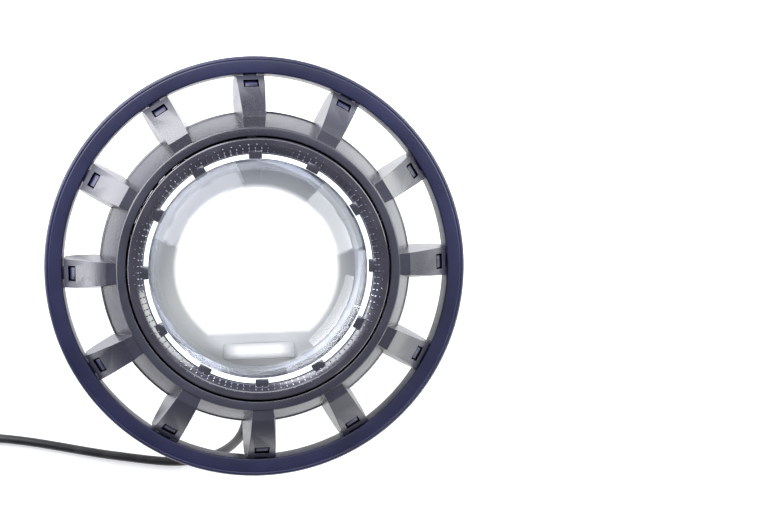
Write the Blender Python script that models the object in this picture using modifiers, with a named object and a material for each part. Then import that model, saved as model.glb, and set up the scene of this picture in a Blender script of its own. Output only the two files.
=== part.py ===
"""Round fog light with a twelve-spoke snap bezel, a tilting mounting bracket and a pigtail lead.

The lamp lies face up on its heat sink. +Z is the optical axis, +Y is up when the lamp is fitted,
and the origin is where the axis meets the surface under the fin tips. Lengths are in metres.
"""

import math

import bmesh
import bpy
from mathutils import Matrix, Vector

MM = 0.001
GAP = 0.3 * MM  # left between pieces that touch

# Bezel: the outer ring, the spoked carrier behind it and the bracket that holds them, profiles in millimetres
RING_R = 80.0
RING_FACE_Z = 63.0
RING_BACK_Z = 54.0
RING_OPEN_R = 73.4
SPOKES = 12
SPOKE_HALF_ANGLE = math.radians(4.25)
SPOKE_DRAFT = math.tan(math.radians(5.0))
ARM_WALL = 1.8  # millimetres, as the stations below
# An arm's sections outwards: front radius, front height, back radius, back height, in millimetres
ARM_STATIONS = [(52.6, 79.4, 57.6, 61.0), (57.2, 79.4, 59.6, 57.0), (61.4, 77.0, 61.6, 56.0),
                (68.3, 70.0, 68.2, 55.3), (72.6, 63.3, 71.7, 54.6)]
POCKET_STATIONS = [(60.8, 74.6, 60.8, 50.0), (61.4, 74.4, 61.4, 50.0), (66.2, 69.4, 66.2, 50.0)]
FACE_Z = 80.0
FACE_R = 53.2
BORE_R = 50.2
FLARE_R = 59.2
FLARE_BACK_Z = 59.0
PLATE_R = 58.2
PLATE_BORE_R = 48.6
PLATE_TOP_Z = FLARE_BACK_Z - GAP / MM
PLATE_BOTTOM_Z = 55.2
LEG_ANGLES = [math.radians(a) for a in (45, 135, 225, 315)]
CARRIER_SCREW_ANGLES = [math.radians(a) for a in (20, 160, 200, 340)]
CARRIER_SCREW_R = 52.6 * MM
FOOT_Z = 20.0 * MM
FOOT_SLEEVE_R = 47.8 * MM

# Lamp: everything that tilts inside the bezel
PIVOT_Z = 67.0 * MM
LENS_WALL = 2.6 * MM
DOME_R = 41.3 * MM
DOME_STEPS = 5
DOME_TOP_Z = 91.0 * MM
DOME_FOOT_Z = 78.2 * MM
SINK_R = 41.0
SINK_BASE_Z = 22.0
SINK_TOP_Z = 26.4
PEDESTAL_R = 16.0
PEDESTAL_TOP_Z = 40.0
FINS = 11
FIN_OUTLINE_R = 39.0 * MM
FIN_PITCH = 6.5 * MM
FIN_THICK = 1.8 * MM
SINK_SCREW_R = 38.2 * MM
AIM_Y = 51.5 * MM

# Lead: a free stretch from the gland, a coil, a short tail and a sealed two-pin connector
CORD_D = 3.5 * MM
GLAND_X = -3.5 * MM
GLAND_Z = 38.0 * MM
COIL_CENTRE = Vector((-126.0 * MM, -47.0 * MM, 0.0))
COIL_R = 18.4 * MM
COIL_H = 7.3 * MM
CONNECTOR_SIZE = Vector((15.0 * MM, 26.0 * MM, 12.0 * MM))
CONNECTOR_CENTRE = Vector((-142.6 * MM, -6.6 * MM, 6.0 * MM))
LATCH_PIVOT = Vector((-142.6 * MM, -9.0 * MM, 13.4 * MM))

# The free stretch's own points, from the gland to the side of the coil
LEAD_ROUTE = [
    (-3.5, -54.5, 38.0),
    (-3.5, -58.0, 37.9),
    (-4.1, -63.0, 35.6),
    (-6.2, -68.6, 29.6),
    (-10.0, -73.6, 19.6),
    (-15.4, -77.4, 9.8),
    (-21.6, -79.5, 4.0),
    (-28.5, -80.3, 1.95),
    (-37.0, -79.7, 1.8),
    (-48.5, -77.9, 1.8),
    (-60.4, -75.8, 1.8),
    (-73.0, -73.1, 1.8),
    (-87.0, -70.2, 1.8),
    (-100.0, -68.2, 1.8),
    (-112.6, -67.1, 1.8),
]
TAIL_ROUTE = [(-142.6, -30.2, 5.6), (-142.6, -26.4, 5.8), (-142.6, -22.5, 6.0)]


def clear_scene():
    for old in list(bpy.data.objects):
        bpy.data.objects.remove(old, do_unlink=True)


def collection(name):
    made = bpy.data.collections.new(name)
    bpy.context.scene.collection.children.link(made)
    return made


def finish(name, colour, roughness, metallic=0.0):
    made = bpy.data.materials.new(name)
    made.use_nodes = True
    shader = made.node_tree.nodes["Principled BSDF"]
    shader.inputs["Base Color"].default_value = (*colour, 1.0)
    shader.inputs["Roughness"].default_value = roughness
    shader.inputs["Metallic"].default_value = metallic
    return made


def polar(radius, angle, z=0.0):
    return Vector((radius * math.cos(angle), radius * math.sin(angle), z))


def node(name, mesh, material, home=None):
    made = bpy.data.objects.new(name, mesh)
    (home or PARTS).objects.link(made)
    if material:
        mesh.materials.append(material)
        mesh.shade_smooth()
        mesh.set_sharp_from_angle(angle=math.radians(30))
    return made


def mesh_from(bm, name):
    bmesh.ops.recalc_face_normals(bm, faces=bm.faces)
    mesh = bpy.data.meshes.new(name)
    bm.to_mesh(mesh)
    bm.free()
    return mesh


def add_box(bm, size, centre, turn=0.0):
    place = Matrix.Rotation(turn, 4, "Z") @ Matrix.Translation(centre)
    bmesh.ops.create_cube(bm, size=1.0, matrix=place @ Matrix.Diagonal((*size, 1.0)))


def add_cylinder(bm, radius, start, end, sides=24, top_radius=None):
    """A solid round bar, or a cone frustum, from one point to another."""
    run = Vector(end) - Vector(start)
    place = Matrix.Translation((Vector(start) + Vector(end)) / 2)
    place = place @ Vector((0, 0, 1)).rotation_difference(run).to_matrix().to_4x4()
    upper = radius if top_radius is None else top_radius
    bmesh.ops.create_cone(bm, cap_ends=True, segments=sides, radius1=radius, radius2=upper,
                          depth=run.length, matrix=place)


def box(name, size, centre, material, turn=0.0, round_by=0.0):
    bm = bmesh.new()
    add_box(bm, size, centre, turn)
    if round_by:
        bmesh.ops.bevel(bm, geom=bm.edges[:], offset=round_by, segments=2, affect="EDGES", profile=0.5)
    return node(name, mesh_from(bm, name), material)


def cylinder(name, radius, start, end, material, sides=24):
    bm = bmesh.new()
    add_cylinder(bm, radius, start, end, sides)
    return node(name, mesh_from(bm, name), material)


def turned(name, profile, material, steps=48, closed=True, home=None):
    """Turns (radius, height) points in millimetres, listed down the outer side, about +Z."""
    bm = bmesh.new()
    points = [bm.verts.new((r * MM, 0.0, z * MM)) for r, z in profile]
    for a, b in zip(points, points[1:]):
        bm.edges.new((a, b))
    if closed:
        bm.edges.new((points[-1], points[0]))
    mesh = bpy.data.meshes.new(name)
    bm.to_mesh(mesh)
    bm.free()
    made = node(name, mesh, material, home)
    screw = made.modifiers.new("turn", "SCREW")
    screw.steps = steps
    screw.render_steps = steps
    screw.use_merge_vertices = True
    screw.merge_threshold = 0.00001
    screw.use_smooth_shade = False
    return made


def boolean(target, bm, operation, label, solver="EXACT"):
    """Cuts the shapes in bm from target, or joins them to it."""
    other = node(f"{target.name}_{label}", mesh_from(bm, label), None, HELPERS)
    other.hide_render = True
    other.display_type = "WIRE"
    change = target.modifiers.new(label, "BOOLEAN")
    change.operation = operation
    change.solver = solver
    change.use_self = solver == "EXACT"
    change.object = other


def cut(target, bm, label="cut", solver="EXACT"):
    boolean(target, bm, "DIFFERENCE", label, solver)


def join(target, bm, label="join"):
    boolean(target, bm, "UNION", label)


def smooth_route(points, spacing):
    """Points a spacing apart on a Catmull-Rom curve through a route given in millimetres."""
    route = [Vector(p) * MM for p in points]
    route = [2 * route[0] - route[1], *route, 2 * route[-1] - route[-2]]
    fine = []
    for a, b, c, d in zip(route, route[1:], route[2:], route[3:]):
        for k in range(20):
            t = k / 20
            fine.append(0.5 * (2 * b + (c - a) * t + (2 * a - 5 * b + 4 * c - d) * t * t
                               + (3 * b - a - 3 * c + d) * t ** 3))
    fine.append(route[-2])
    lengths = [0.0]
    for a, b in zip(fine, fine[1:]):
        lengths.append(lengths[-1] + (b - a).length)
    count = max(2, round(lengths[-1] / spacing))
    placed = []
    for k in range(count + 1):
        along = lengths[-1] * k / count
        i = max(1, next((n for n, s in enumerate(lengths) if s >= along), len(lengths) - 1))
        share = (along - lengths[i - 1]) / (lengths[i] - lengths[i - 1])
        placed.append(fine[i - 1].lerp(fine[i], min(1.0, share)))
    return placed


def tube(name, points, radius, material):
    curve = bpy.data.curves.new(name, "CURVE")
    curve.dimensions = "3D"
    curve.bevel_depth = radius
    curve.bevel_resolution = 2
    curve.use_fill_caps = True
    spline = curve.splines.new("POLY")
    spline.points.add(len(points) - 1)
    for point, place in zip(spline.points, points):
        point.co = (*place, 1.0)
    curve.materials.append(material)
    made = bpy.data.objects.new(name, curve)
    PARTS.objects.link(made)
    return made


# Bezel


def outer_ring():
    """The front trim ring: flat face, rolled outer lip, drafted inner skirt and a snap hook for each spoke."""
    ring = turned("outer_ring", [(RING_R - 1.1, RING_FACE_Z), (RING_R - 0.4, RING_FACE_Z - 0.25),
                                 (RING_R, RING_FACE_Z - 0.9), (RING_R, 57.5), (RING_R - 1.4, 57.5),
                                 (RING_R - 1.6, RING_FACE_Z - 2), (RING_OPEN_R + 1.4, RING_FACE_Z - 2),
                                 (RING_OPEN_R + 0.4, RING_BACK_Z), (RING_OPEN_R - 1, RING_BACK_Z),
                                 (RING_OPEN_R, RING_FACE_Z)], SATIN_BLACK)
    bm = bmesh.new()
    for k in range(SPOKES):
        add_box(bm, (4.2 * MM, 5.0 * MM, 3.0 * MM), (71.2 * MM, 0.0, 59.7 * MM), 2 * math.pi * k / SPOKES)
    join(ring, bm, "hooks")


def arm_loft(bm, angle, stations, inset=0.0):
    """Lofts an arm's sections outwards, with side walls drafted towards the back."""
    rings = []
    for front_r, front_z, back_r, back_z in stations:
        front = front_r * math.sin(SPOKE_HALF_ANGLE) - inset
        back = back_r * math.sin(SPOKE_HALF_ANGLE) + (front_z - back_z) * SPOKE_DRAFT - inset
        corners = [(front_r, front, front_z), (front_r, -front, front_z),
                   (back_r, -back, back_z), (back_r, back, back_z)]
        turn = Matrix.Rotation(angle, 3, "Z")
        rings.append([bm.verts.new(turn @ (Vector(c) * MM)) for c in corners])
    for near, far in zip(rings, rings[1:]):
        for i in range(4):
            j = (i + 1) % 4
            bm.faces.new((near[i], near[j], far[j], far[i]))
    bm.faces.new(rings[0])
    bm.faces.new(rings[-1][::-1])


def spoke_carrier():
    """The hub and its twelve arms, one moulding, with a snap window in each arm and four screw bosses."""
    hub = turned("spoke_carrier", [(FACE_R - 0.3, FACE_Z), (FACE_R, FACE_Z - 0.3), (FLARE_R, FLARE_BACK_Z),
                                   (FLARE_R - 2.2, FLARE_BACK_Z), (FACE_R - 1.5, FACE_Z - 2.2),
                                   (BORE_R, FACE_Z - 2.2), (BORE_R, FACE_Z - 0.3), (BORE_R + 0.3, FACE_Z)],
                 CARRIER_BLACK)
    arms = bmesh.new()
    pockets = bmesh.new()
    windows = bmesh.new()
    for k in range(SPOKES):
        angle = 2 * math.pi * k / SPOKES
        arm_loft(arms, angle, ARM_STATIONS)
        arm_loft(pockets, angle, POCKET_STATIONS, ARM_WALL)
        add_box(windows, (2.7 * MM, 5.7 * MM, 20.0 * MM), (69.65 * MM, 0.0, 67.0 * MM), angle)
    join(hub, arms, "arms")
    slots = bmesh.new()
    for k in range(SPOKES):
        add_box(slots, (6.0 * MM, 5.7 * MM, 4.8 * MM), (71.3 * MM, 0.0, 59.4 * MM), 2 * math.pi * k / SPOKES)
    bosses = bmesh.new()
    holes = bmesh.new()
    for angle in CARRIER_SCREW_ANGLES:
        add_cylinder(bosses, 2.5 * MM, polar(CARRIER_SCREW_R, angle, FLARE_BACK_Z * MM),
                     polar(CARRIER_SCREW_R, angle, 78.2 * MM), 16)
        add_cylinder(holes, 1.5 * MM, polar(CARRIER_SCREW_R, angle, 50.0 * MM),
                     polar(CARRIER_SCREW_R, angle, 70.0 * MM), 12)
    join(hub, bosses, "bosses")
    cut(hub, pockets, "pockets")
    cut(hub, windows, "windows")
    cut(hub, slots, "slots")
    cut(hub, holes, "holes", "MANIFOLD")


def mounting_bracket():
    """Flat ring behind the hub, with two pivot arms, the aim screw's hole and four legs with feet."""
    bracket = turned("mounting_bracket", [(PLATE_R, PLATE_TOP_Z), (PLATE_R, PLATE_BOTTOM_Z),
                                          (PLATE_BORE_R, PLATE_BOTTOM_Z), (PLATE_BORE_R, PLATE_TOP_Z)],
                     CARRIER_BLACK)
    uprights = bmesh.new()
    for side in (0, math.pi):
        add_box(uprights, (2.2 * MM, 10.0 * MM, 15.0 * MM), (51.5 * MM, 0.0, 64.0 * MM), side)
    feet = bmesh.new()
    for angle in LEG_ANGLES:
        add_box(uprights, (3.0 * MM, 11.0 * MM, 35.0 * MM), (55.0 * MM, 0.0, 39.0 * MM), angle)
        add_box(feet, (13.5 * MM, 11.0 * MM, 3.0 * MM), (49.75 * MM, 0.0, 21.5 * MM), angle)
    join(bracket, uprights, "uprights")
    join(bracket, feet, "feet")
    holes = bmesh.new()
    for side in (0, math.pi):
        add_cylinder(holes, 3.5 * MM, polar(48.0 * MM, side, PIVOT_Z), polar(60.0 * MM, side, PIVOT_Z))
    for angle in LEG_ANGLES:
        add_cylinder(holes, 3.6 * MM, polar(FOOT_SLEEVE_R, angle, 10 * MM), polar(FOOT_SLEEVE_R, angle, 30 * MM))
    for angle in CARRIER_SCREW_ANGLES:
        add_cylinder(holes, 1.6 * MM, polar(CARRIER_SCREW_R, angle, 50 * MM),
                     polar(CARRIER_SCREW_R, angle, 62 * MM), 12)
    add_cylinder(holes, 1.9 * MM, (0, AIM_Y, 50 * MM), (0, AIM_Y, 62 * MM), 16)
    cut(bracket, holes, "holes")


def ring_bar(name, outer, inner, start, end, material, sides=24):
    """A round sleeve between two points."""
    bm = bmesh.new()
    add_cylinder(bm, outer, start, end, sides)
    made = node(name, mesh_from(bm, name), material)
    run = (Vector(end) - Vector(start)).normalized() * MM
    bore = bmesh.new()
    add_cylinder(bore, inner, Vector(start) - run, Vector(end) + run, sides)
    cut(made, bore, "bore")
    return made


def foot_sleeves():
    for k, angle in enumerate(LEG_ANGLES, 1):
        ring_bar(f"foot_sleeve_{k}", 3.3 * MM, 2.3 * MM, polar(FOOT_SLEEVE_R, angle, FOOT_Z),
                 polar(FOOT_SLEEVE_R, angle, 23 * MM), STEEL, 14)


def pan_screw(name, head_r, shank_r, head_start, head_end, shank_end, material=None):
    """A screw made as a head and a shank along one line."""
    bm = bmesh.new()
    add_cylinder(bm, head_r, head_start, head_end, 16)
    made = node(name, mesh_from(bm, name), material or STEEL)
    shank = bmesh.new()
    back = (Vector(head_end) - Vector(head_start)) * 0.5
    add_cylinder(shank, shank_r, Vector(head_end) - back, shank_end, 12)
    join(made, shank, "shank")
    return made


def carrier_screws():
    for k, angle in enumerate(CARRIER_SCREW_ANGLES, 1):
        pan_screw(f"carrier_screw_{k}", 2.5 * MM, 1.2 * MM, polar(CARRIER_SCREW_R, angle, 53.2 * MM),
                  polar(CARRIER_SCREW_R, angle, 54.9 * MM), polar(CARRIER_SCREW_R, angle, 68.5 * MM))


def pivots():
    """A steel pin pressed into each side of the housing, turning in a nylon bush in the bracket arm."""
    for label, side in (("right", 0.0), ("left", math.pi)):
        cylinder(f"pivot_pin_{label}", 2.0 * MM, polar(44.6 * MM, side, PIVOT_Z),
                 polar(52.9 * MM, side, PIVOT_Z), STEEL, 20)
        ring_bar(f"pivot_bush_{label}", 3.2 * MM, 2.3 * MM, polar(50.4 * MM, side, PIVOT_Z),
                 polar(52.6 * MM, side, PIVOT_Z), NYLON, 16)


# Lamp


def heat_sink():
    """Die-cast base with a pedestal for the light board and a row of fins underneath."""
    sink = turned("heat_sink", [(0.0, PEDESTAL_TOP_Z), (PEDESTAL_R, PEDESTAL_TOP_Z), (PEDESTAL_R, SINK_TOP_Z),
                                (SINK_R, SINK_TOP_Z), (SINK_R, SINK_BASE_Z), (0.0, SINK_BASE_Z)],
                  CAST_ALUMINIUM, closed=False)
    fins = bmesh.new()
    for k in range(FINS):
        x = (k - FINS // 2) * FIN_PITCH
        half = math.sqrt(FIN_OUTLINE_R ** 2 - x ** 2)
        add_box(fins, (FIN_THICK, 2 * half, 22.6 * MM), (x, 0.0, 11.3 * MM))
    join(sink, fins, "fins")
    holes = bmesh.new()
    for k in range(4):
        angle = math.pi / 2 * k
        add_cylinder(holes, 3.4 * MM, polar(SINK_SCREW_R, angle, -1 * MM),
                     polar(SINK_SCREW_R, angle, SINK_BASE_Z * MM), 16)
        add_cylinder(holes, 1.8 * MM, polar(SINK_SCREW_R, angle, 21.0 * MM), polar(SINK_SCREW_R, angle, 30 * MM), 12)
    for x in (-11.5 * MM, 11.5 * MM):
        add_cylinder(holes, 1.5 * MM, (x, 0, 35.0 * MM), (x, 0, 45 * MM), 12)
    cut(sink, holes, "holes")


def sink_screws():
    for k in range(4):
        angle = math.pi / 2 * k
        pan_screw(f"heat_sink_screw_{k + 1}", 2.7 * MM, 1.3 * MM, polar(SINK_SCREW_R, angle, 19.6 * MM),
                  polar(SINK_SCREW_R, angle, 21.7 * MM), polar(SINK_SCREW_R, angle, 29.6 * MM))


def lamp_housing():
    """Moulded cup that holds the optics, with pin bosses, the aim lug, the gland and the vent seats."""
    cup = turned("lamp_housing", [(48.8, 74.2), (48.8, 63.0), (44.5, 57.0), (40.5, 46.0), (38.5, 31.0),
                                  (41.0, 31.0), (41.0, 28.0), (32.5, 28.0), (32.5, 31.5), (36.0, 33.0),
                                  (38.0, 46.0), (42.0, 57.5), (46.3, 63.5), (46.3, 71.0), (40.0, 71.0),
                                  (40.0, 74.2)], HOUSING_BLACK, steps=36)
    bosses = bmesh.new()
    for side in (0, math.pi):
        add_cylinder(bosses, 4.5 * MM, polar(43.0 * MM, side, PIVOT_Z), polar(49.8 * MM, side, PIVOT_Z))
    add_box(bosses, (13.0 * MM, 21.0 * MM, 5.4 * MM), (0, 48.1 * MM, 48.0 * MM))
    add_cylinder(bosses, 6.5 * MM, (GLAND_X, -37.6 * MM, GLAND_Z), (GLAND_X, -43.0 * MM, GLAND_Z))
    join(cup, bosses, "bosses")
    holes = bmesh.new()
    for side in (0, math.pi):
        add_cylinder(holes, 2.3 * MM, polar(40.0 * MM, side, PIVOT_Z), polar(52.0 * MM, side, PIVOT_Z), 20)
    add_box(holes, (7.8 * MM, 10.2 * MM, 12.0 * MM), (0, AIM_Y, 48.0 * MM))
    add_cylinder(holes, 3.3 * MM, (GLAND_X, -30.0 * MM, GLAND_Z), (GLAND_X, -46.0 * MM, GLAND_Z), 20)
    add_cylinder(holes, 2.4 * MM, (-30 * MM, 0, GLAND_Z), (-46 * MM, 0, GLAND_Z), 16)
    for k in range(4):
        angle = math.pi / 2 * k
        add_cylinder(holes, 1.6 * MM, polar(SINK_SCREW_R, angle, 25 * MM), polar(SINK_SCREW_R, angle, 30 * MM), 12)
    cut(cup, holes, "holes")


def dome_arc(foot_r, top_z, foot_z):
    """Points of a spherical cap's profile from its top to its foot, in millimetres."""
    foot_r, top_z, foot_z = foot_r / MM, top_z / MM, foot_z / MM
    sphere_r = (foot_r ** 2 + (top_z - foot_z) ** 2) / (2 * (top_z - foot_z))
    radii = [foot_r * math.sin(math.pi / 2 * k / DOME_STEPS) for k in range(DOME_STEPS + 1)]
    return [(r, top_z - sphere_r + math.sqrt(sphere_r ** 2 - r ** 2)) for r in radii]


def optics():
    """Lens, its retaining ring and gasket, the cut-off shield and the reflector bowl."""
    outer = dome_arc(DOME_R, DOME_TOP_Z, DOME_FOOT_Z)
    inner = dome_arc(DOME_R - LENS_WALL, DOME_TOP_Z - LENS_WALL, DOME_FOOT_Z - LENS_WALL)
    turned("projector_lens", [*outer, (43.1, 78.2), (43.1, 75.6), *reversed(inner)], CLEAR, closed=False)
    turned("lens_gasket", [(43.0, 75.3), (43.0, 74.5), (40.6, 74.5), (40.6, 75.3)], RUBBER, steps=36)
    ring = turned("lens_retaining_ring", [(47.9, 80.5), (48.8, 80.0), (49.2, 79.2), (49.2, 74.5), (43.5, 74.5),
                                          (43.5, 79.0), (46.4, 80.5)], GLOSS_BLACK)
    tabs = bmesh.new()
    for k in range(SPOKES):
        add_box(tabs, (3.4 * MM, 5.0 * MM, 0.9 * MM), (43.1 * MM, 0, 79.0 * MM), 2 * math.pi * k / SPOKES)
    join(ring, tabs, "tabs")
    shield = turned("cutoff_shield", [(39.4, 69.2), (39.4, 68.0), (30.0, 68.0), (30.0, 69.2)], BRIGHT, steps=36)
    lip = bmesh.new()
    add_box(lip, (38.0 * MM, 12.0 * MM, 1.2 * MM), (0, -29.0 * MM, 68.6 * MM))
    join(shield, lip, "lip")
    turned("reflector", [(38.6, 67.4), (35.5, 59.0), (28.0, 50.5), (18.0, 46.5), (9.0, 45.0), (9.0, 46.2),
                         (17.6, 47.8), (27.2, 51.6), (34.2, 59.6), (36.6, 67.4)], BRIGHT, steps=32)


def light_source():
    """Light board with its chips, on a heat pad, and the ring-shaped driver board round the pedestal."""
    holes = bmesh.new()
    for x in (-11.5 * MM, 11.5 * MM):
        add_cylinder(holes, 1.5 * MM, (x, 0, 35.0 * MM), (x, 0, 48 * MM), 12)
    pad = cylinder("heat_pad", 14.5 * MM, (0, 0, 40.3 * MM), (0, 0, 40.8 * MM), RUBBER, 24)
    cut(pad, holes.copy(), "holes")
    board = cylinder("light_board", 15.5 * MM, (0, 0, 41.1 * MM), (0, 0, 42.5 * MM), BOARD, 24)
    cut(board, holes, "holes")
    box("light_chips", (9.0 * MM, 9.0 * MM, 1.2 * MM), (0, 0, 43.4 * MM), EMITTER)
    for k, x in enumerate((-11.5 * MM, 11.5 * MM), 1):
        pan_screw(f"board_screw_{k}", 2.2 * MM, 1.1 * MM, (x, 0, 44.2 * MM), (x, 0, 42.8 * MM), (x, 0, 36.0 * MM))
    turned("driver_board", [(31.5, 34.6), (31.5, 33.0), (18.0, 33.0), (18.0, 34.6)], BOARD, steps=28)
    turned("housing_seal", [(35.2, 27.7), (35.2, 26.7), (33.4, 26.7), (33.4, 27.7)], RUBBER, steps=28)


def aiming():
    """Nut in the housing's lug; the aim screw turns in the bracket with its clip and hand wheel."""
    nut = box("aim_nut", (7.2 * MM, 9.6 * MM, 5.6 * MM), (0, AIM_Y, 48.0 * MM), NYLON)
    slot = bmesh.new()
    add_box(slot, (3.9 * MM, 6.0 * MM, 9.0 * MM), (0, AIM_Y, 48.0 * MM))
    cut(nut, slot, "slot")
    screw = pan_screw("aim_screw", 2.8 * MM, 1.5 * MM, (0, AIM_Y, 61.0 * MM), (0, AIM_Y, 59.0 * MM),
                      (0, AIM_Y, 31.0 * MM))
    cross = bmesh.new()
    add_box(cross, (3.4 * MM, 0.8 * MM, 1.6 * MM), (0, AIM_Y, 61.0 * MM))
    cut(screw, cross, "slot")
    ring_bar("aim_screw_clip", 3.2 * MM, 1.8 * MM, (0, AIM_Y, 53.8 * MM), (0, AIM_Y, 54.9 * MM), STEEL, 14)
    wheel = ring_bar("aim_wheel", 5.2 * MM, 1.8 * MM, (0, AIM_Y, 30.0 * MM), (0, AIM_Y, 35.0 * MM), NYLON, 16)
    grips = bmesh.new()
    for k in range(8):
        place = Vector((0, AIM_Y, 0)) + polar(5.6 * MM, math.pi / 4 * k)
        add_cylinder(grips, 1.0 * MM, place + Vector((0, 0, 29 * MM)), place + Vector((0, 0, 36 * MM)), 8)
    cut(wheel, grips, "grips")


def vent_and_gland():
    """Breather cap in the housing's side and the rubber gland that the lead leaves by."""
    pan_screw("vent_cap", 4.2 * MM, 2.0 * MM, (-43.6 * MM, 0, GLAND_Z), (-40.6 * MM, 0, GLAND_Z),
              (-36.0 * MM, 0, GLAND_Z), RUBBER)
    bm = bmesh.new()
    add_cylinder(bm, 5.6 * MM, (GLAND_X, -43.3 * MM, GLAND_Z), (GLAND_X, -46.2 * MM, GLAND_Z), 20)
    gland = node("cable_gland", mesh_from(bm, "gland"), RUBBER)
    neck = bmesh.new()
    add_cylinder(neck, 3.0 * MM, (GLAND_X, -38.5 * MM, GLAND_Z), (GLAND_X, -45.0 * MM, GLAND_Z), 20)
    join(gland, neck, "plug")
    nose = bmesh.new()
    add_cylinder(nose, 3.9 * MM, (GLAND_X, -45.0 * MM, GLAND_Z), (GLAND_X, -54.0 * MM, GLAND_Z), 20, 2.5 * MM)
    join(gland, nose, "nose")


# Lead


def lead():
    tube("cable", smooth_route(LEAD_ROUTE, 2.3 * CORD_D), CORD_D / 2, CABLE_BLACK)
    inner = (COIL_R - CORD_D) / MM - 0.2
    outer = (COIL_R + CORD_D) / MM + 0.2
    height = COIL_H / MM
    coil = turned("cable_coil", [(outer - 1.6, height), (outer, height - 1.8), (outer, 1.5), (outer - 1.4, 0.0),
                                 (inner + 1.4, 0.0), (inner, 1.5), (inner, height - 1.8), (inner + 1.6, height)],
                  CABLE_BLACK, steps=32)
    coil.location = COIL_CENTRE
    tube("cable_tail", smooth_route(TAIL_ROUTE, 2.3 * CORD_D), CORD_D / 2, CABLE_BLACK)


def coil_tie():
    """Nylon tie closed round the turns of the coil."""
    bm = bmesh.new()
    mid = COIL_CENTRE + Vector((COIL_R, 0, COIL_H / 2))
    add_box(bm, (2 * CORD_D + 2.9 * MM, 2.6 * MM, COIL_H - 0.1 * MM + 1.8 * MM), mid + Vector((0, 0, 0.95 * MM)))
    tie = node("coil_tie", mesh_from(bm, "tie"), NYLON_BLACK)
    window = bmesh.new()
    add_box(window, (2 * CORD_D + 1.1 * MM, 5 * MM, COIL_H + 2.6 * MM), mid + Vector((0, 0, -1.0 * MM)))
    cut(tie, window, "window")


def connector():
    """Sealed two-pin plug: body with a front socket, rear seal, two pins and a latch on ears."""
    bm = bmesh.new()
    add_box(bm, CONNECTOR_SIZE, CONNECTOR_CENTRE)
    bmesh.ops.bevel(bm, geom=bm.edges[:], offset=1.2 * MM, segments=2, affect="EDGES", profile=0.5)
    body = node("connector_body", mesh_from(bm, "connector"), MATTE_BLACK)
    ears = bmesh.new()
    for x in (-4.6 * MM, 4.6 * MM):
        add_box(ears, (1.6 * MM, 4.6 * MM, 5.0 * MM), (LATCH_PIVOT.x + x, LATCH_PIVOT.y, 12.9 * MM))
    join(body, ears, "ears")
    front = CONNECTOR_CENTRE.y + CONNECTOR_SIZE.y / 2
    back = CONNECTOR_CENTRE.y - CONNECTOR_SIZE.y / 2
    room = bmesh.new()
    add_box(room, (11.4 * MM, 14.0 * MM, 7.4 * MM), (CONNECTOR_CENTRE.x, front - 5.0 * MM, 5.6 * MM))
    add_cylinder(room, 4.3 * MM, (CONNECTOR_CENTRE.x, back - 2 * MM, 6 * MM),
                 (CONNECTOR_CENTRE.x, back + 5 * MM, 6 * MM))
    add_box(room, (7.2 * MM, 9.4 * MM, 3.0 * MM), (CONNECTOR_CENTRE.x, back + 4.2 * MM, 12.9 * MM))
    add_cylinder(room, 1.5 * MM, LATCH_PIVOT - Vector((9 * MM, 0, 0)), LATCH_PIVOT + Vector((9 * MM, 0, 0)), 16)
    for x in (-2.8 * MM, 2.8 * MM):
        add_cylinder(room, 1.1 * MM, (CONNECTOR_CENTRE.x + x, back + 4 * MM, 6 * MM),
                     (CONNECTOR_CENTRE.x + x, front, 6 * MM), 12)
    cut(body, room, "rooms")
    seal = turned("connector_seal", [(0.0, 4.6), (4.0, 4.6), (4.0, 0.3), (3.0, -2.4), (0.0, -2.4)], RUBBER,
                  steps=20, closed=False)
    seal.location = (CONNECTOR_CENTRE.x, back, 6 * MM)
    seal.rotation_euler = (-math.pi / 2, 0, 0)
    for k, x in enumerate((-2.8 * MM, 2.8 * MM), 1):
        cylinder(f"connector_pin_{k}", 0.8 * MM, (CONNECTOR_CENTRE.x + x, back + 5.4 * MM, 6 * MM),
                 (CONNECTOR_CENTRE.x + x, front - 3 * MM, 6 * MM), STEEL, 12)


def latch():
    """Rocking latch: a lever with a catch in front and a thumb pad behind, on its own cross pin."""
    pivot = bpy.data.objects.new("latch_axis", None)
    pivot.location = LATCH_PIVOT
    HELPERS.objects.link(pivot)
    bm = bmesh.new()
    add_box(bm, (6.6 * MM, 22.0 * MM, 1.5 * MM), (0, 1.6 * MM, 0.2 * MM))
    lever = node("connector_latch", mesh_from(bm, "latch"), MATTE_BLACK)
    lever.parent = pivot
    extra = bmesh.new()
    add_cylinder(extra, 1.1 * MM, (-5.2 * MM, 0, 0), (5.2 * MM, 0, 0), 16)
    add_box(extra, (6.6 * MM, 1.8 * MM, 1.2 * MM), (0, -8.2 * MM, 1.2 * MM))
    helper = node("connector_latch_extra", mesh_from(extra, "extra"), None, HELPERS)
    helper.hide_render = True
    helper.display_type = "WIRE"
    helper.parent = pivot
    change = lever.modifiers.new("pin and pad", "BOOLEAN")
    change.operation = "UNION"
    change.solver = "EXACT"
    change.object = helper


clear_scene()
PARTS = collection("fog_light")
HELPERS = collection("cutters")
SATIN_BLACK = finish("satin_black", (0.030, 0.032, 0.062), 0.38)
CARRIER_BLACK = finish("carrier_black", (0.050, 0.048, 0.060), 0.42)
HOUSING_BLACK = finish("housing_black", (0.020, 0.020, 0.022), 0.50)
GLOSS_BLACK = finish("gloss_black", (0.012, 0.012, 0.016), 0.10)
MATTE_BLACK = finish("matte_black", (0.025, 0.025, 0.027), 0.55)
CABLE_BLACK = finish("cable_black", (0.010, 0.010, 0.011), 0.35)
CAST_ALUMINIUM = finish("cast_aluminium", (0.50, 0.50, 0.51), 0.45, 1.0)
BRIGHT = finish("bright_reflector", (0.85, 0.87, 0.90), 0.10, 1.0)
STEEL = finish("zinc_steel", (0.60, 0.60, 0.58), 0.30, 1.0)
NYLON = finish("natural_nylon", (0.70, 0.68, 0.60), 0.45)
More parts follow.
